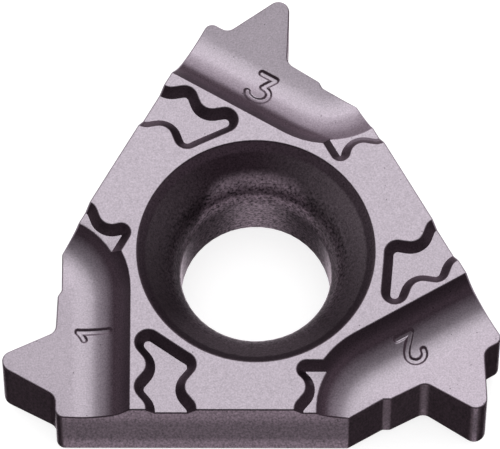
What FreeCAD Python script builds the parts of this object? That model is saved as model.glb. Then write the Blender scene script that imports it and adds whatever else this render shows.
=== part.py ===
import FreeCAD, Part
import math
import os
import re
import Sketcher

# Lay-down threading insert, pressed and sintered in one piece, with three edges used in turn.
# Frame: the screw hole's axis is Z, the underside is Z = 0 and one long side faces -Y.
# Corner 1 is at the lower left, and turning it by 120 and 240 degrees gives the other two.
# At corner 1 a reach is measured towards -X from the hole axis, and the workpiece axis runs along Y.

# driving sizes, in millimetres and degrees
sizes = {
    "side_reach": 4.7625,           # long sides from the hole axis, for a 9.525 inscribed circle
    "thickness": 3.48,
    "relief_height": 0.49,          # bevel round the underside, below the ground sides
    "relief_inset": 0.2,
    "tip_reach": 7.05,
    "thread_depth": 1.48,           # full form for 11 threads to the inch
    "flank_angle": 27.5,            # half of the thread angle
    "form_radius": 0.317,           # tooth tip and both roots
    "tooth_setback": 1.5875,        # tooth centre line from the long side beside it
    "nose_radius": 0.24,            # end of the short crest beside the tooth
    "shoulder_fall": 0.04,          # lower end of the sloping shoulder behind the tooth
    "shoulder_end": 1.15,           # where the shoulder steps down to the heel
    "step_run": 0.18,
    "heel_rise": 0.6575,            # heel beyond the inscribed circle
    "groove_land": 0.189,           # land between the screw seat and the chip groove
    "wall_slope": 49.9,             # steep inner wall of the chip groove
    "wall_round_depth": 0.548,      # round at the foot of that wall, at its lowest
    "wall_round_radius": 0.9,
    "floor_straight": 0.1,          # between that round and the one along the groove's lowest line
    "floor_fall": 0.097,            # how much lower the second round lies
    "floor_round_radius": 2.0,
    "rake_angle": 8.4,              # rise of the rake face towards the tooth tip
    "turn_reach": 6.03,             # upright axis that the far end of the groove curves round
    "turn_setback": 1.125,
    "recess_depth": 0.26,
    "recess_draft": 45.0,
    "recess_land": 0.137,           # land between a recess and the chip groove beside it
    "rim_land": 0.264,              # raised rim between a recess and the screw seat
    "half_wave_length": 0.66,       # the recess walls swing in and out by the wave height
    "wave_height": 0.32,
    "wave_slope": 73.0,             # steepest angle of the wave to its run
    "winding_width": 1.718,
    "far_straight": 0.877,          # straight stretches of the winding wall beside the rim
    "near_straight": 0.13,
    "hook_mouth_reach": 1.065,      # reaches along the long side, from its middle
    "hook_reach": 1.134,
    "hook_end": 3.262,              # end wall from the hole axis
    "hook_floor_radius": 0.02,
    "hook_straight": 0.051,
    "hook_run": 1.5,                # end wall's length, which brings it out in the chip groove
    "seat_radius": 3.316,           # mouth of the screw seat
    "seat_half_angle": 45.0,
    "seat_blend": 1.5,
    "bore_radius": 2.11,
}
corner_turns = (0, 120, 240)
clear_of_part = "1.0"                # how far a cutting outline runs on outside the material
groove_edge = "(seat_radius + groove_land)"
rim = "(seat_radius + rim_land)"
wave_radius = ("((half_wave_length * sin(wave_slope) - wave_height * cos(wave_slope))"
               " / (2 - 2 * cos(wave_slope)))")


def formula(text):
    """The sheet's form of a formula in which the sizes are written by their bare names."""
    return re.sub("[a-z_]+", lambda word: ("Sizes." if word[0] in sizes else "") + word[0], text)


def bind(thing, path, text):
    thing.setExpression(path, formula(text))


def turned(spot, angle):
    """The formulas of a spot at corner 1, turned about the hole axis."""
    x, y, *rest = spot
    return (f"({x}) * cos({angle}) - ({y}) * sin({angle})",
            f"({x}) * sin({angle}) + ({y}) * cos({angle})", *rest)


def new_sketch(body, name, role):
    """A sketch on one of the body's own origin planes."""
    sketch = body.newObject("Sketcher::SketchObject", name)
    plane = next(feature for feature in body.Origin.OriginFeatures if feature.Role == role)
    sketch.AttachmentSupport = [(plane, "")]
    sketch.MapMode = "FlatFace"
    return sketch


def place_point(sketch, geometry, end, x, y):
    """Dimension a point from the sketch's origin, by formula."""
    for kind, text in (("DistanceX", x), ("DistanceY", y)):
        now = sketch.evalExpression(formula(text))
        index = sketch.addConstraint(Sketcher.Constraint(kind, -1, 1, geometry, end, now))
        bind(sketch, f"Constraints[{index}]", text)


def draw_chain(sketch, spots):
    """Draw a closed outline of straight edges that run from spot to spot.

    A spot (x, y) is a sharp corner. A spot (x, y, radius, turn) is a round about that centre,
    tangent to both edges, where turn is "left" or "right" as the outline is followed.
    """
    centres = []
    bends = []
    for x, y, *round_off in spots:
        centres.append(FreeCAD.Vector(*(sketch.evalExpression(formula(text)) for text in (x, y))))
        radius = sketch.evalExpression(formula(round_off[0])) if round_off else 0.0
        bends.append(-radius if round_off and round_off[1] == "right" else radius)

    count = len(spots)
    starts = []
    ends = []
    for here in range(count):
        there = (here + 1) % count
        gap = centres[there] - centres[here]
        shift = bends[there] - bends[here]
        run = math.sqrt(gap.Length ** 2 - shift ** 2)
        heading = math.atan2(gap.y, gap.x) - math.atan2(shift, run)
        left = FreeCAD.Vector(-math.sin(heading), math.cos(heading))
        starts.append(centres[here] - left * bends[here])
        ends.append(centres[there] - left * bends[there])
    sketch.addGeometry([Part.LineSegment(*pair) for pair in zip(starts, ends)])

    for here, (x, y, *round_off) in enumerate(spots):
        before = (here - 1) % count
        if not round_off:
            sketch.addConstraint(Sketcher.Constraint("Coincident", before, 2, here, 1))
            place_point(sketch, here, 1, x, y)
            continue
        arrive = ends[before] - centres[here]
        leave = starts[here] - centres[here]
        sweep = [math.atan2(arrive.y, arrive.x), math.atan2(leave.y, leave.x)]
        tips = (1, 2)
        if bends[here] < 0:
            sweep.reverse()
            tips = (2, 1)
        if sweep[1] < sweep[0]:
            sweep[1] += 2 * math.pi
        circle = Part.Circle(centres[here], FreeCAD.Vector(0, 0, 1), abs(bends[here]))
        arc = sketch.addGeometry(Part.ArcOfCircle(circle, *sweep))
        sketch.addConstraint(Sketcher.Constraint("Tangent", before, 2, arc, tips[0]))
        sketch.addConstraint(Sketcher.Constraint("Tangent", arc, tips[1], here, 1))
        place_point(sketch, arc, 3, x, y)
        index = sketch.addConstraint(Sketcher.Constraint("Radius", arc, abs(bends[here])))
        bind(sketch, f"Constraints[{index}]", round_off[0])


def tooth_outline():
    """Outline spots of corner 1, from the long side that faces -Y round to the next long side."""
    crest = "(tip_reach - thread_depth)"
    apex = "(tip_reach - form_radius + form_radius / sin(flank_angle))"
    root_half_width = (f"(({apex} - {crest} - form_radius) * tan(flank_angle)"
                       " + form_radius / cos(flank_angle))")
    centre_line = "(tooth_setback - side_reach)"
    heel = "(side_reach + heel_rise)"
    # where the heel meets the next long side, which faces 120 degrees away from -Y
    heel_end = f"(side_reach * 2 - {heel} * sqrt(3))"
    return [
        (f"nose_radius - {crest}", "nose_radius - side_reach", "nose_radius", "right"),
        (f"-{crest} - form_radius", f"{centre_line} - {root_half_width}", "form_radius", "left"),
        ("form_radius - tip_reach", centre_line, "form_radius", "right"),
        (f"-{crest} - form_radius", f"{centre_line} + {root_half_width}", "form_radius", "left"),
        (f"shoulder_fall - {crest}", "-shoulder_end"),
        (f"-{heel}", "step_run - shoulder_end"),
        (f"-{heel}", heel_end),
    ]


def make_blank(body):
    """The whole outline at full thickness, with a bevel round the underside."""
    outline = new_sketch(body, "outline", "XY_Plane")
    # clockwise, so the corners come in the order 1, 3, 2
    draw_chain(outline, [turned(spot, -turn) for turn in corner_turns for spot in tooth_outline()])
    blank = body.newObject("PartDesign::Pad", "blank")
    blank.Profile = outline
    bind(blank, "Length", "thickness")
    doc.recompute()
    relief = body.newObject("PartDesign::Chamfer", "underside_relief")
    relief.Base = (blank, [f"Edge{number}" for number, edge in enumerate(blank.Shape.Edges, start=1)
                           if edge.BoundBox.ZMax < 0.001])
    relief.ChamferType = "Two distances"
    bind(relief, "Size", "relief_height")
    bind(relief, "Size2", "relief_inset")
    doc.recompute()


def groove_section(body, name, far_reach):
    """Section of the chip groove in the plane where its straight run ends.

    The sketch's own upright axis is the axis that the far end of the groove curves round.
    """
    section = new_sketch(body, name, "XZ_Plane")
    bind(section, "AttachmentOffset.Base.x", "-turn_reach")
    bind(section, "AttachmentOffset.Base.y", "thickness")
    bind(section, "AttachmentOffset.Base.z", "turn_setback")
    wall_run = ("((wall_round_radius - (wall_round_radius - wall_round_depth) * cos(wall_slope))"
                " / sin(wall_slope))")
    wall_round = f"({groove_edge} + {wall_run})"
    floor_run = ("sqrt(floor_straight ^ 2 - floor_fall ^ 2"
                 " + 2 * floor_fall * (floor_round_radius - wall_round_radius))")
    floor_round = f"({wall_round} + {floor_run})"
    floor_centre = "(floor_round_radius - wall_round_depth - floor_fall)"
    rake = (f"(floor_round_radius / cos(rake_angle) - {floor_centre}"
            f" - tan(rake_angle) * ({far_reach} - {floor_round}))")
    draw_chain(section, [
        (f"turn_reach - {groove_edge}", "0"),
        (f"turn_reach - {wall_round}", "wall_round_radius - wall_round_depth",
         "wall_round_radius", "right"),
        (f"turn_reach - {floor_round}", floor_centre, "floor_round_radius", "right"),
        (f"turn_reach - {far_reach}", f"-{rake}"),
        (f"turn_reach - {far_reach}", clear_of_part),
        (f"turn_reach - {groove_edge}", clear_of_part),
    ])
    return section


def make_chip_groove(body):
    """Corner 1's chip groove: a straight run out through the side, and a curved far end."""
    run = body.newObject("PartDesign::Pocket", "groove_run")
    run.Profile = groove_section(body, "groove_run_section", f"(tip_reach + {clear_of_part})")
    run.Reversed = True
    bind(run, "Length", f"side_reach - turn_setback + {clear_of_part}")
    bend = body.newObject("PartDesign::Groove", "groove_bend")
    bend.Profile = groove_section(body, "groove_bend_section", "turn_reach")
    bend.ReferenceAxis = (bend.Profile[0], ["V_Axis"])
    bend.Angle = 90
    return [run, bend]


def make_recess(body, name, spots):
    """A shallow recess with sloping walls, sunk into the top face from its outline there."""
    outline = new_sketch(body, f"{name}_outline", "XY_Plane")
    bind(outline, "AttachmentOffset.Base.z", "thickness")
    draw_chain(outline, spots)
    recess = body.newObject("PartDesign::Pocket", name)
    recess.Profile = outline
    bind(recess, "Length", "recess_depth")
    bind(recess, "TaperAngle", "-recess_draft")
    return recess


def beside_rim(reach, straight):
    """How far out a round of the wave lies when a straight stretch joins it to the rim's arc."""
    return f"(-sqrt(({rim} + {wave_radius})^2 + {straight}^2 - ({reach})^2))"


def make_recesses(body):
    """The two recesses that open through the side facing -Y, one beside each of its corners."""
    outside = f"-side_reach - {clear_of_part}"
    far_wall = f"({groove_edge} - recess_land)"
    far_bay = f"{wave_radius} - {far_wall}"
    far_bump = f"wave_height - {far_wall} - {wave_radius}"
    far_end = beside_rim(far_bay, "far_straight")
    near_wall = f"({far_wall} - winding_width)"
    near_bay = f"-{near_wall} - {wave_radius}"
    near_end = beside_rim(near_bay, "near_straight")
    winding = make_recess(body, "winding_recess", [
        (f"wave_height - {far_wall}", outside),
        (far_bump, f"{far_end} - 3 * half_wave_length", wave_radius, "left"),
        (far_bay, f"{far_end} - 2 * half_wave_length", wave_radius, "right"),
        (far_bump, f"{far_end} - half_wave_length", wave_radius, "left"),
        (far_bay, far_end, wave_radius, "right"),
        ("0", "0", rim, "left"),
        (near_bay, near_end, wave_radius, "right"),
        (f"{wave_radius} - {near_wall} - wave_height", f"{near_end} - half_wave_length",
         wave_radius, "left"),
        (near_bay, f"{near_end} - 2 * half_wave_length", wave_radius, "right"),
        (f"-{near_wall}", outside),
    ])
    hook_radius = "(recess_depth * tan(recess_draft) + hook_floor_radius)"
    hook_x = f"(hook_reach + {hook_radius})"
    hook_y = f"(-hook_end - {hook_radius})"
    bump_x = f"(hook_mouth_reach + wave_height - {wave_radius})"
    bump_y = (f"({hook_y} - sqrt(({wave_radius} + {hook_radius})^2 + hook_straight^2"
              f" - ({hook_x} - {bump_x})^2))")
    hook = make_recess(body, "hook_recess", [
        ("hook_mouth_reach", outside),
        (f"hook_mouth_reach + {wave_radius}", f"{bump_y} - half_wave_length", wave_radius, "right"),
        (bump_x, bump_y, wave_radius, "left"),
        (hook_x, hook_y, hook_radius, "right"),
        ("hook_reach + hook_run", "-hook_end"),
        ("hook_reach + hook_run", outside),
    ])
    return [winding, hook]


def repeat_at_corners(body, features):
    """Repeat corner 1's cuts and its side's recesses round the hole axis."""
    pattern = body.newObject("PartDesign::PolarPattern", "three_edges")
    pattern.Originals = features
    pattern.Axis = (features[-1].Profile[0], ["N_Axis"])
    pattern.Angle = 360
    pattern.Occurrences = len(corner_turns)
    body.Tip = pattern
    return pattern


def make_screw_hole(body):
    """The clamping screw's hole: a cone at the top face, rounded into a plain bore."""
    section = new_sketch(body, "screw_hole_section", "XZ_Plane")
    draw_chain(section, [
        ("0", "thickness"),
        ("0", "0"),
        ("bore_radius", "0"),
        ("bore_radius + seat_blend",
         "thickness - (seat_radius - bore_radius) / tan(seat_half_angle)"
         " - seat_blend * tan(seat_half_angle / 2)",
         "seat_blend", "right"),
        ("seat_radius", "thickness"),
    ])
    hole = body.newObject("PartDesign::Groove", "screw_hole")
    hole.Profile = section
    hole.ReferenceAxis = (section, ["V_Axis"])
    hole.Angle = 360
    return hole


doc = FreeCAD.newDocument("ThreadingInsert")
sheet = doc.addObject("Spreadsheet::Sheet", "Sizes")
for row, (alias, number) in enumerate(sizes.items(), start=1):
    sheet.set(f"A{row}", alias)
    sheet.set(f"B{row}", str(number))
    sheet.setAlias(f"B{row}", alias)
doc.recompute()

insert = doc.addObject("PartDesign::Body", "Insert")
insert.Label = "threading_insert"
make_blank(insert)
repeat_at_corners(insert, make_chip_groove(insert) + make_recesses(insert))
make_screw_hole(insert)
doc.recompute()

for thing in doc.Objects:
    if {"Invalid", "Error"} & set(thing.State):
        raise RuntimeError(f"{thing.Label} failed: {thing.State}")
if insert.Shape.isNull() or not insert.Shape.isValid() or len(insert.Shape.Solids) != 1:
    raise RuntimeError("the insert is not one valid solid")
for cut in insert.Group:
    if cut.TypeId in ("PartDesign::Pocket", "PartDesign::Groove"):
        if cut.Shape.Volume > cut.BaseFeature.Shape.Volume - 0.01:
            raise RuntimeError(f"{cut.Name} takes nothing away")

os.makedirs("parts", exist_ok=True)
insert.Shape.exportStep(f"parts/{insert.Label}.step")
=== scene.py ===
import math

import bmesh
import bpy
from mathutils import Matrix, Vector
from mathutils.geometry import intersect_point_line


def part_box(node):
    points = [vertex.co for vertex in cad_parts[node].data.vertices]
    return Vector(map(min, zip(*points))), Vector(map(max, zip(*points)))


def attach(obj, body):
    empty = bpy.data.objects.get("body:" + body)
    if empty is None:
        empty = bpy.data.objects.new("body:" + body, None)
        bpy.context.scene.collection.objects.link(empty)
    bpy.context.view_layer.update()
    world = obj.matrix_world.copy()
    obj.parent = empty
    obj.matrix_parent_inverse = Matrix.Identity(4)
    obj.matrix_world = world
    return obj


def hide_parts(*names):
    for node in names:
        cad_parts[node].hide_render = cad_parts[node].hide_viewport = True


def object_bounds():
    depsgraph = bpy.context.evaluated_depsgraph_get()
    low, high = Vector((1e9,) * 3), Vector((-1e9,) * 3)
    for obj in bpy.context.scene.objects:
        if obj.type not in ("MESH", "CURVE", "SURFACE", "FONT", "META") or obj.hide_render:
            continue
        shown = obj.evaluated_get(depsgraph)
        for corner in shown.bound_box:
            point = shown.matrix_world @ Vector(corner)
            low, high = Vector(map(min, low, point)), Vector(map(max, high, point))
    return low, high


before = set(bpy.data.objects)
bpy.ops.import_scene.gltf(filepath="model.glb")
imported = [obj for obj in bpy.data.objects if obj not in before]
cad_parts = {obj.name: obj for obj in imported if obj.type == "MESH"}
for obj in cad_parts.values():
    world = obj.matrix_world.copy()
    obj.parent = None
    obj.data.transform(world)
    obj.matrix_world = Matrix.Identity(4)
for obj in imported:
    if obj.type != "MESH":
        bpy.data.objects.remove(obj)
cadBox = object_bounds()
mm = 0.001
scene = bpy.context.scene

# The insert lies flat. Corner 1 is at the lower left, 2 at the lower right and 3 at the top.


def addObject(name, data):
    thing = bpy.data.objects.new(name, data)
    scene.collection.objects.link(thing)
    return thing


# camera

cameraSettings = {
    "tilt": 21.94,          # degrees off the hole axis, towards the viewer
    "distance": 239.0,      # mm from the middle of the top face
    "lens": 616.8,          # mm, with the sensor below
    "sensor": 36.0,
    "nearest": 0.01,        # m, nearest thing drawn
    "aimRight": -0.166,     # mm from the hole axis to the middle of the picture
    "aimUp": 0.728,
}


def makeCamera(values):
    tilt = math.radians(values["tilt"])
    back = Vector((0, -math.sin(tilt), math.cos(tilt)))
    up = Vector((0, math.cos(tilt), math.sin(tilt)))
    top = Vector((0, 0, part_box("threading_insert")[1].z))
    place = top + back * values["distance"] * mm
    aim = top + Vector((1, 0, 0)) * values["aimRight"] * mm + up * values["aimUp"] * mm
    lens = bpy.data.cameras.new("productCamera")
    lens.lens = values["lens"]
    lens.sensor_width = values["sensor"]
    lens.clip_start = values["nearest"]
    camera = addObject("productCamera", lens)
    camera.location = place
    camera.rotation_euler = (aim - place).to_track_quat("-Z", "Y").to_euler()
    scene.camera = camera


makeCamera(cameraSettings)
print("camera placed")


# shader arithmetic

class Wire:                                    # one output socket of a node tree
    def __init__(self, tree, socket=None):
        self.tree = tree
        self.socket = socket

    def node(self, kind, settings=None, inputs=None, output=0):
        made = self.tree.nodes.new(kind)
        for name, value in (settings or {}).items():
            setattr(made, name, value)
        for name, value in (inputs or {}).items():
            if isinstance(value, Wire):
                self.tree.links.new(value.socket, made.inputs[name])
            else:
                made.inputs[name].default_value = value
        return Wire(self.tree, made.outputs[output] if made.outputs else None)

    def math(self, operation, *values):
        return self.node("ShaderNodeMath", {"operation": operation}, dict(enumerate(values)))

    def __add__(self, other):
        return self.math("ADD", self, other)

    def __sub__(self, other):
        return self.math("SUBTRACT", self, other)

    def __mul__(self, other):
        return self.math("MULTIPLY", self, other)

    def __rsub__(self, other):
        return self.math("SUBTRACT", other, self)

    def ramp(self, low, high, smooth=True):    # 0 below low, 1 above high
        return self.node("ShaderNodeMapRange",
                         {"interpolation_type": "SMOOTHSTEP" if smooth else "LINEAR"},
                         {"Value": self, "From Min": low, "From Max": high})

    def between(self, low, high):              # numbers, by this wire as the share
        return self * (high - low) + low

    def mix(self, low, high):                  # colours, by this wire as the factor
        return self.node("ShaderNodeMix", {"data_type": "RGBA"}, {0: self, 6: low, 7: high}, 2)

    def larger(self, other):
        return self.math("MAXIMUM", self, other)

    def part(self, axis):
        return self.node("ShaderNodeSeparateXYZ", {}, {0: self}, axis)

    def vector(self, operation, *values, output=0):
        return self.node("ShaderNodeVectorMath", {"operation": operation},
                         dict(enumerate(values)), output)

    def times(self, other):                    # each part by itself
        return self.vector("MULTIPLY", self, other)

    def along(self, direction):
        return self.vector("DOT_PRODUCT", self, direction, output="Value")

    def noise(self, scale, detail):
        return self.node("ShaderNodeTexNoise", {}, {"Vector": self, "Scale": scale,
                                                    "Detail": detail, "Roughness": 0.5})


# coated carbide, with light and shade painted into its colours

coating = {
    "flat": (0.516, 0.468, 0.521),         # land, chip grooves and floors of the recesses
    "wallPaintedShade": (0.063, 0.047, 0.057),        # walls of grooves and recesses, darkened as painted shade
    "wallPaintedLight": (0.19, 0.15, 0.175),     # the same where they face the back, lightened as painted light
    "flank": (0.135, 0.099, 0.118),        # sides of the teeth
    "ground": (0.182, 0.149, 0.173),       # middle of the three long sides
    "groundLight": (0.355, 0.294, 0.338),  # their upper and lower bands
    "mouthRing": (0.055, 0.04, 0.05),      # rounded rim of the screw hole: painted shade, then painted light
    "mouthLight": (0.115, 0.097, 0.108),
    # seat of the screw hole: painted shade, then painted light
    "seat": (0.034, 0.024, 0.03),
    "seatLight": (0.33, 0.297, 0.315),
    "bore": (0.335, 0.284, 0.318),
    "roughness": 0.4,

    # Where one colour gives way to the next. A rise is the upward part of a normal, a facing
    # another part of it and an arc a part of the direction from the hole axis. The others
    # are in mm.
    "uprightRise": (0.1, 0.4),
    "levelRise": (0.86, 0.99),
    "lightSide": (-0.4, 0.9, 0),           # where the walls with painted light face, and by how much
    "lightFacing": (0.1, 0.7),
    "wallHeight": (3.05, 3.45),            # painted shade: walls darken upwards, by these tones
    "wallTone": (1.35, 0.75),
    "frontFacing": (0.2, 0.6),             # and, as painted shade too, where they face the front
    "frontTone": 0.7,
    "grooveReach": (4.0, 4.2),             # middle of a chip groove, with its number, where walls facing the back get painted light
    "grooveHeight": (3.3, 3.4),
    "grooveFacing": (0.1, 0.4),
    "grooveLight": 0.5,
    "edgeReach": (4.7, 4.74),              # rounded edge of a long side, lit by a painted highlight
    "edgeLight": 0.8,
    "sideReach": (4.4, 4.5),               # long side
    "sideFacing": (0.7, 0.95),
    "stepLight": 0.3,                      # other upright faces that look the same way
    "lowerBand": (0.9, 1.35),
    "upperBand": (2.2, 3.2),
    "mouthRadius": (3.33, 3.36),
    "mouthHeight": (3.22, 3.3),
    "boreHeight": (1.95, 2.67),            # start of the bore, at the front and at the back
    "boreArc": (0.6, 0.95),
    "boreBlend": (-0.25, 0.15),
    "ringLower": (2.15, 2.3),              # dark ring above the bore, a painted shade
    "ringUpper": (2.34, 2.5),
    "ringShade": 0.5,

    # Painted light on the seat and rim round the hole, from 0 to 1
    "seatLeast": 0.015,
    "seatSides": 0.45,
    "seatRight": 0.2,
    "seatFront": 0.6,
    "seatArc": (0.3, 1.0),

    # Grain: features to the mm and their detail, then strength
    "fineGrain": (24.0, 2.0),
    "coarseGrain": (9.0, 3.0),
    "sinteredGrain": (13.0, 3.0),
    "drawnGrain": (16.0, 2.0),             # drawn out along the sides' height, by this stretch
    "drawnStretch": (1, 1, 0.4),
    "fineStrength": (1.4, 0.8),            # on walls and on level faces
    "coarseStrength": 0.1,
    "sinteredStrength": 4.2,
    "drawnStrength": 2.2,
    "sinteredHeight": (2.4, 3.0),          # strongest below, a share of it above
    "sinteredShare": 0.25,
    "leastTone": 0.12,
    "pitScale": 3.0,
    "pitSize": (0.03, 0.075),
    "pitTone": 0.35,
    "bumpStrength": 0.15,
    "bumpHeight": 0.00001,                 # m
}


def makeCoating(values):
    def colour(name):
        return (*values[name], 1)

    material = bpy.data.materials.new("coatedCarbide")
    material.use_nodes = True
    tree = material.node_tree
    tree.nodes.clear()
    start = Wire(tree)
    place = start.node("ShaderNodeTexCoord", output="Object").times((1000, 1000, 1000))    # mm
    normal = start.node("ShaderNodeTexCoord", output="Normal")
    height, rise, backward = place.part("Z"), normal.part("Z"), normal.part("Y")
    forward = 0 - backward                     # towards the viewer
    sin60 = 0.866

    # walls, with painted shade and painted light by where they face
    wall = normal.along(values["lightSide"]).ramp(*values["lightFacing"]).mix(
        colour("wallPaintedShade"), colour("wallPaintedLight"))
    # painted shade: darker towards the top of the walls and where they face the front
    wall = wall.times(height.ramp(*values["wallHeight"]).between(*values["wallTone"])
                      * forward.ramp(*values["frontFacing"]).between(1, values["frontTone"]))

    # level faces, with painted light on the walls of the numbers that face the back and a painted
    # highlight on the edges of two long sides
    flat = rise.ramp(*values["levelRise"], smooth=False)
    flat = flat * flat
    groove = place.along((-1, 0, 0))
    for direction in ((0.5, -sin60, 0), (0.5, sin60, 0)):
        groove = groove.larger(place.along(direction))
    # painted light on faces that look back, in the middle of each chip groove
    light = (groove.ramp(*values["grooveReach"]) * backward.ramp(*values["grooveFacing"])
             * (1 - height.ramp(*values["grooveHeight"])) * values["grooveLight"])
    flat = flat + (1 - flat) * light
    # painted highlight on the rounded edges of the left and right long sides
    reach = place.along((-sin60, 0.5, 0)).larger(place.along((sin60, 0.5, 0)))
    flat = flat.larger(reach.ramp(*values["edgeReach"]) * values["edgeLight"])
    base = flat.mix(wall, colour("flat"))

    # Outer sides. The cubic is 1 for each of the three directions that a long side faces.
    longSide = (forward * forward * forward * 4 - forward * 3).ramp(*values["sideFacing"])
    reach = reach.larger(place.along((0, -1, 0)))
    longSide = longSide * reach.ramp(*values["sideReach"]).between(values["stepLight"], 1)
    bands = height.ramp(*values["upperBand"]) + 1 - height.ramp(*values["lowerBand"])
    ground = bands.mix(colour("ground"), colour("groundLight"))
    upright = 1 - rise.ramp(*values["uprightRise"])
    base = upright.mix(base, longSide.mix(colour("flank"), ground))

    # screw hole, with painted light and shade on its rim and seat and a painted dark ring above
    # the bore
    radius = place.times((1, 1, 0))
    radius = radius.vector("LENGTH", radius, output="Value")
    across = place.math("DIVIDE", place.part("X"), radius)
    away = place.math("DIVIDE", place.part("Y"), radius)
    # painted light round the hole: lighter at the left and right, most at the right, and at the
    # front
    lit = (across * across * values["seatSides"] + across * values["seatRight"]
           + values["seatLeast"])
    lit = lit.larger((0 - away).ramp(*values["seatArc"]) * values["seatFront"])
    seat = height.ramp(*values["mouthHeight"]).mix(
        lit.mix(colour("seat"), colour("seatLight")),
        lit.mix(colour("mouthRing"), colour("mouthLight")))
    # painted shade: a dark ring above the bore
    ring = height.ramp(*values["ringLower"]) - height.ramp(*values["ringUpper"])
    bore = (ring * values["ringShade"]).mix(colour("bore"), colour("seat"))
    depth = away.ramp(*values["boreArc"]).between(*values["boreHeight"]) - height
    hole = depth.ramp(*values["boreBlend"]).mix(seat, bore)
    outside = radius.ramp(*values["mouthRadius"])
    base = outside.mix(hole, base)

    # grain and pits
    fine, coarse, sintered = [place.noise(*values[name])
                              for name in ("fineGrain", "coarseGrain", "sinteredGrain")]
    drawn = place.times(values["drawnStretch"]).noise(*values["drawnGrain"])
    inHole = ((1 - outside)
              * height.ramp(*values["sinteredHeight"]).between(1, values["sinteredShare"]))
    tone = ((fine - 0.5) * flat.between(*values["fineStrength"])
            + (coarse - 0.5) * values["coarseStrength"]
            + (sintered - 0.5) * inHole * values["sinteredStrength"]
            + (drawn - 0.5) * upright * outside * values["drawnStrength"] + 1)
    pits = place.node("ShaderNodeTexVoronoi", {}, {"Vector": place, "Scale": values["pitScale"]})
    tone = (tone.larger(values["leastTone"])
            * pits.ramp(*values["pitSize"]).between(values["pitTone"], 1))
    bump = start.node("ShaderNodeBump", {}, {
        "Strength": values["bumpStrength"], "Distance": values["bumpHeight"], "Height": fine})
    shader = start.node("ShaderNodeBsdfPrincipled", {}, {
        "Base Color": base.times(tone), "Metallic": 1.0, "Roughness": values["roughness"],
        "Normal": bump})
    start.node("ShaderNodeOutputMaterial", {}, {"Surface": shader})
    return material


# insert body, from the CAD mesh, with its edges rounded and the corner numbers engraved

insertSettings = {
    "merge": 0.0001,                # mm
    "weld": 0.006,                  # mm, short steps on curves
    "flatAngle": 0.002,             # radians, below which two faces become one
    "sharpAngle": 18.0,             # degrees, above which an edge is a real one
    "upward": 0.5,                  # least upward part of a normal, of a face that looks up
    "level": 0.9,                   # and of a level one
    "pressedRound": 0.035,          # mm, edges of the land, grooves and recesses
    "pressedSteps": 3,
    "groundRound": 0.034,           # other edges
    "groundSteps": 2,
}

numberSettings = {                  # mm
    "patchStart": (-2.92, 3.88),    # field round a number: right, and away from the screw hole
    "patchEnd": (-1.98, 5.14),
    "patchTop": 3.47,
    "patchStep": 0.02,
    "cutTolerance": 0.0002,
    "strokeFloor": 0.034,           # from the stroke's middle to where its floor starts to rise
    "strokeWall": 0.082,            # width of the sloping wall
    "strokeDepth": 0.038,
    "slopeStep": 0.002,             # over which the slope is taken
    "curveSteps": 8,                # of each part of a stroke
}

# Middle lines of the numbers' strokes in the same two directions, in mm. Each is a smooth curve.
numberStrokes = {
    1: [
        [(-2.205, 4.95), (-2.21, 4.1)],
        [(-2.2, 4.95), (-2.32, 4.85), (-2.43, 4.785)],
    ],
    2: [
        [(-2.69, 4.68), (-2.66, 4.79), (-2.57, 4.88), (-2.44, 4.915), (-2.29, 4.86), (-2.2, 4.72),
         (-2.22, 4.58), (-2.33, 4.41), (-2.47, 4.26), (-2.60, 4.11)],
        [(-2.62, 4.09), (-2.17, 4.09)],
    ],
    3: [
        [(-2.68, 4.975), (-2.235, 4.975)],
        [(-2.235, 4.965), (-2.41, 4.67)],
        [(-2.44, 4.61), (-2.31, 4.59), (-2.2, 4.51), (-2.165, 4.38), (-2.21, 4.25),
         (-2.32, 4.16), (-2.46, 4.12), (-2.6, 4.14), (-2.71, 4.2), (-2.76, 4.28)],
    ],
}
cornerTurns = {1: 90.0, 2: -150.0, 3: -30.0}          # degrees, each number about the hole axis


def strokePoints(stroke, steps):
    curve = bpy.data.curves.new("stroke", "CURVE")
    curve.resolution_u = steps
    spline = curve.splines.new("BEZIER")
    spline.bezier_points.add(len(stroke) - 1)
    for point, place in zip(spline.bezier_points, stroke):
        point.co = (*place, 0)
        point.handle_left_type = point.handle_right_type = "AUTO"
    holder = bpy.data.objects.new("stroke", curve)
    mesh = bpy.data.meshes.new_from_object(holder)
    points = [vert.co.xy for vert in mesh.vertices]
    bpy.data.objects.remove(holder)
    bpy.data.curves.remove(curve)
    bpy.data.meshes.remove(mesh)
    return points


def engravingDepth(spot, lines, values):
    gap = 1.0
    for points in lines:
        for start, end in zip(points, points[1:]):
            nearest, share = intersect_point_line(spot, start, end)
            nearest = start if share < 0 else end if share > 1 else nearest
            gap = min(gap, (spot - nearest.xy).length)
    share = 1 - min(max((gap - values["strokeFloor"]) / values["strokeWall"], 0), 1)
    return values["strokeDepth"] * share * share * (3 - 2 * share)


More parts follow.
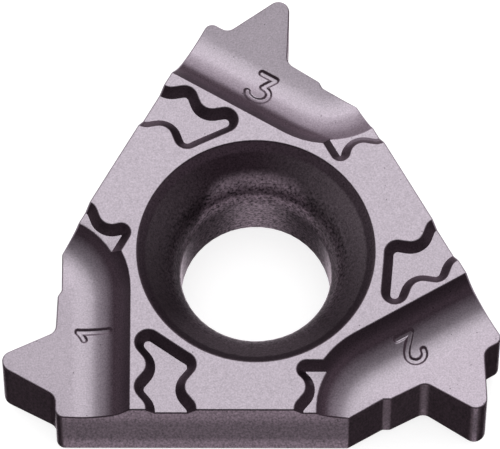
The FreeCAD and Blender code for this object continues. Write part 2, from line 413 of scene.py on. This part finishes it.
def engraveNumber(bm, number, values, slopes):
    turn = Matrix.Rotation(math.radians(cornerTurns[number]), 3, "Z")
    back = turn.inverted()
    start, end = Vector(values["patchStart"]), Vector(values["patchEnd"])
    right, up = Vector((1, 0, 0)), Vector((0, 1, 0))

    def meetsPatch(face):
        places = [back @ vert.co / mm for vert in face.verts]
        return (face.normal.z > insertSettings["upward"]
                and max(place.z for place in places) < values["patchTop"]
                and all(min(place[axis] for place in places) < end[axis]
                        and max(place[axis] for place in places) > start[axis] for axis in (0, 1)))

    def insidePatch(face):
        middle = back @ face.calc_center_median() / mm
        return start.x < middle.x < end.x and start.y < middle.y < end.y

    def cut(faces, place, direction):
        parts = set(faces)
        for face in faces:
            parts.update(face.edges)
            parts.update(face.verts)
        made = bmesh.ops.bisect_plane(bm, geom=list(parts), dist=values["cutTolerance"] * mm,
                                      plane_co=turn @ place * mm, plane_no=turn @ direction)
        return [part for part in made["geom"] if isinstance(part, bmesh.types.BMFace)]

    for place, direction in ((start, right), (end, right), (start, up), (end, up)):
        cut([face for face in bm.faces if meetsPatch(face)], place.to_3d(), direction)
    faces = [face for face in bm.faces if meetsPatch(face) and insidePatch(face)]
    step = values["patchStep"]
    for direction, size in ((right, end.x - start.x), (up, end.y - start.y)):
        for index in range(1, round(size / step)):
            faces = cut(faces, start.to_3d() + direction * index * step, direction)

    lines = [strokePoints(stroke, values["curveSteps"]) for stroke in numberStrokes[number]]
    step = values["slopeStep"]
    for vert in {vert for face in faces for vert in face.verts}:
        spot = (back @ vert.co / mm).xy
        depth = engravingDepth(spot, lines, values)
        slope = Vector([(engravingDepth(spot + move, lines, values) - depth) / step
                        for move in (Vector((step, 0)), Vector((0, step)))])
        vert.co.z -= depth * mm
        slopes[vert] = turn @ slope.to_3d()


def evaluated(thing):
    view = bpy.context.evaluated_depsgraph_get()
    return bpy.data.meshes.new_from_object(thing.evaluated_get(view), depsgraph=view)


def roundEdges(bm, edges, width, steps):
    bmesh.ops.bevel(bm, geom=edges, offset=width * mm, offset_type="OFFSET", segments=steps,
                    profile=0.5, affect="EDGES", clamp_overlap=False, loop_slide=False,
                    material=-1)


def roundedCopy(source, values):
    bm = bmesh.new()
    bm.from_mesh(source.data)
    for gap in (values["merge"], values["weld"]):
        bmesh.ops.remove_doubles(bm, verts=bm.verts, dist=gap * mm)
    bmesh.ops.dissolve_limit(bm, angle_limit=values["flatAngle"], verts=bm.verts, edges=bm.edges)
    limit = math.radians(values["sharpAngle"])

    def sharpEdges(pressed):                   # pressed edges join a level face and a sloping one
        for edge in bm.edges:
            low, high = sorted(face.normal.z for face in edge.link_faces)
            if edge.calc_face_angle(0) > limit and (low > values["upward"]) == pressed:
                if not pressed or (high > values["level"] and edge.is_convex):
                    yield edge

    roundEdges(bm, list(sharpEdges(True)), values["pressedRound"], values["pressedSteps"])
    roundEdges(bm, list(sharpEdges(False)), values["groundRound"], values["groundSteps"])
    for face in bm.faces:
        face.smooth = True
    for edge in bm.edges:
        edge.smooth = edge.calc_face_angle(0) < limit
    return bm


# A number takes the shading of the body before engraving, tilted by the slope of its walls.
def shadeNumbers(body, smoothBody, tilts):
    body.vertex_groups.new(name="numbers").add(list(tilts), 1, "REPLACE")
    transfer = body.modifiers.new("transfer", "DATA_TRANSFER")
    transfer.object = smoothBody
    transfer.vertex_group = "numbers"
    transfer.use_loop_data = True
    transfer.data_types_loops = {"CUSTOM_NORMAL"}
    transfer.loop_mapping = "POLYINTERP_NEAREST"
    normals = []
    for loop, corner in zip(body.data.loops, evaluated(body).corner_normals):
        normal = Vector(corner.vector)
        tilt = tilts.get(loop.vertex_index)
        if tilt:
            normal = (normal / normal.z + tilt).normalized()
        normals.append(normal)
    body.data.normals_split_custom_set(normals)
    body.modifiers.clear()
    body.vertex_groups.clear()


def makeInsert(values, material):
    bm = roundedCopy(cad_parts["threading_insert"], values)
    mesh = bpy.data.meshes.new("insertBody")
    bm.to_mesh(mesh)
    mesh.materials.append(material)
    body = addObject("insertBody", mesh)
    body.modifiers.new("weighted", "WEIGHTED_NORMAL").keep_sharp = True
    smoothBody = addObject("smoothBody", evaluated(body))
    print("edges rounded")

    slopes = {}
    for number in numberStrokes:
        engraveNumber(bm, number, numberSettings, slopes)
    bm.verts.index_update()
    tilts = {vert.index: slope for vert, slope in slopes.items()}
    bm.to_mesh(mesh)
    bm.free()
    shadeNumbers(body, smoothBody, tilts)
    bpy.data.objects.remove(smoothBody)
    print("numbers engraved")

    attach(body, "root")
    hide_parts("threading_insert")
    print("insert has", len(mesh.polygons), "faces")


makeInsert(insertSettings, makeCoating(coating))


# floor and light

studio = {
    "floorSize": 4.0,                # m
    "floorGap": 0.002,               # mm, below the insert
    "floorColour": (0.45, 0.45, 0.45),
    "floorGlow": 0.7,
    "floorRoughness": 0.9,
    "boxDistance": 0.6,              # m, soft box above and behind
    "boxRadius": 0.23,
    "boxTilt": 26.8,                 # degrees off the hole axis, away from the viewer
    "boxRadiance": 1.39,
    "ambient": 1.25,                 # what the floor sees

    # What the metal sees, by how far up a direction points
    "below": 0.0,
    "lower": 0.55,
    "horizon": 0.4,
    "above": 0.1,
    "lowerRise": (-0.85, -0.5),
    "horizonRise": (-0.15, 0.1),
    "aboveRise": (0.6, 0.9),
    "fill": 0.35,                    # between horizon and above, a share of it at the left
    "fillRise": (0.2, 0.5),
    "fillLeft": 0.3,
    "leftBlend": (0.1, 0.5),
    "frontGlow": 0.5,                # two soft spots below, seen in the screw hole
    "frontSpot": (0, -0.374, -0.927),
    "backGlow": 2.6,
    "backSpot": (0, 0.374, -0.927),
    "spotBlend": (0.94, 0.99),
    "tint": (1.1, 0.98, 1.07),
}


def makeFloor(values):
    bm = bmesh.new()
    bmesh.ops.create_grid(bm, x_segments=1, y_segments=1, size=values["floorSize"] / 2)
    bmesh.ops.translate(bm, verts=bm.verts, vec=(0, 0, cadBox[0][2] - values["floorGap"] * mm))
    mesh = bpy.data.meshes.new("floor")
    bm.to_mesh(mesh)
    bm.free()
    material = bpy.data.materials.new("paleFloor")
    material.use_nodes = True
    shader = material.node_tree.nodes["Principled BSDF"]
    for name, value in (("Base Color", (*values["floorColour"], 1)),
                        ("Emission Color", (1, 1, 1, 1)),
                        ("Emission Strength", values["floorGlow"]),
                        ("Roughness", values["floorRoughness"]),
                        ("Specular IOR Level", 0.0)):
        shader.inputs[name].default_value = value
    mesh.materials.append(material)
    floor = addObject("floor", mesh)
    floor.visible_glossy = False


def makeSoftBox(values):
    tilt = math.radians(values["boxTilt"])
    towards = Vector((0, math.sin(tilt), math.cos(tilt)))
    lamp = bpy.data.lights.new("softBox", "AREA")
    lamp.shape = "DISK"
    lamp.size = values["boxRadius"] * 2
    lamp.energy = values["boxRadiance"] * math.pi ** 2 * values["boxRadius"] ** 2
    box = addObject("softBox", lamp)
    box.location = towards * values["boxDistance"]
    box.rotation_euler = towards.to_track_quat("Z", "Y").to_euler()
    box.visible_camera = False


def makeSurroundings(values):
    world = bpy.data.worlds.new("studio")
    scene.world = world
    world.use_nodes = True
    world.cycles.sampling_method = "NONE"
    tree = world.node_tree
    tree.nodes.clear()
    start = Wire(tree)
    ray = start.node("ShaderNodeTexCoord", output="Generated")
    height = ray.part("Z")
    above = height.ramp(*values["aboveRise"])
    left = (0 - ray.part("X")).ramp(*values["leftBlend"])
    front, back = [ray.along(values[name]).ramp(*values["spotBlend"])
                   for name in ("frontSpot", "backSpot")]
    mirrored = (height.ramp(*values["lowerRise"]).between(values["below"], values["lower"])
                + height.ramp(*values["horizonRise"]) * (values["horizon"] - values["lower"])
                + above * (values["above"] - values["horizon"])
                + height.ramp(*values["fillRise"]) * (1 - above)
                * left.between(values["fill"], values["fill"] * values["fillLeft"])
                + front * values["frontGlow"] + back * values["backGlow"])
    shiny = start.node("ShaderNodeLightPath", output="Is Glossy Ray")
    strength = shiny * mirrored + (1 - shiny) * values["ambient"]
    tint = shiny.mix((1, 1, 1, 1), (*values["tint"], 1))
    light = start.node("ShaderNodeBackground", {}, {"Color": tint, "Strength": strength})
    start.node("ShaderNodeOutputWorld", {}, {"Surface": light})


makeFloor(studio)
makeSoftBox(studio)
makeSurroundings(studio)
scene.view_settings.view_transform = "Standard"
print("floor and light made")
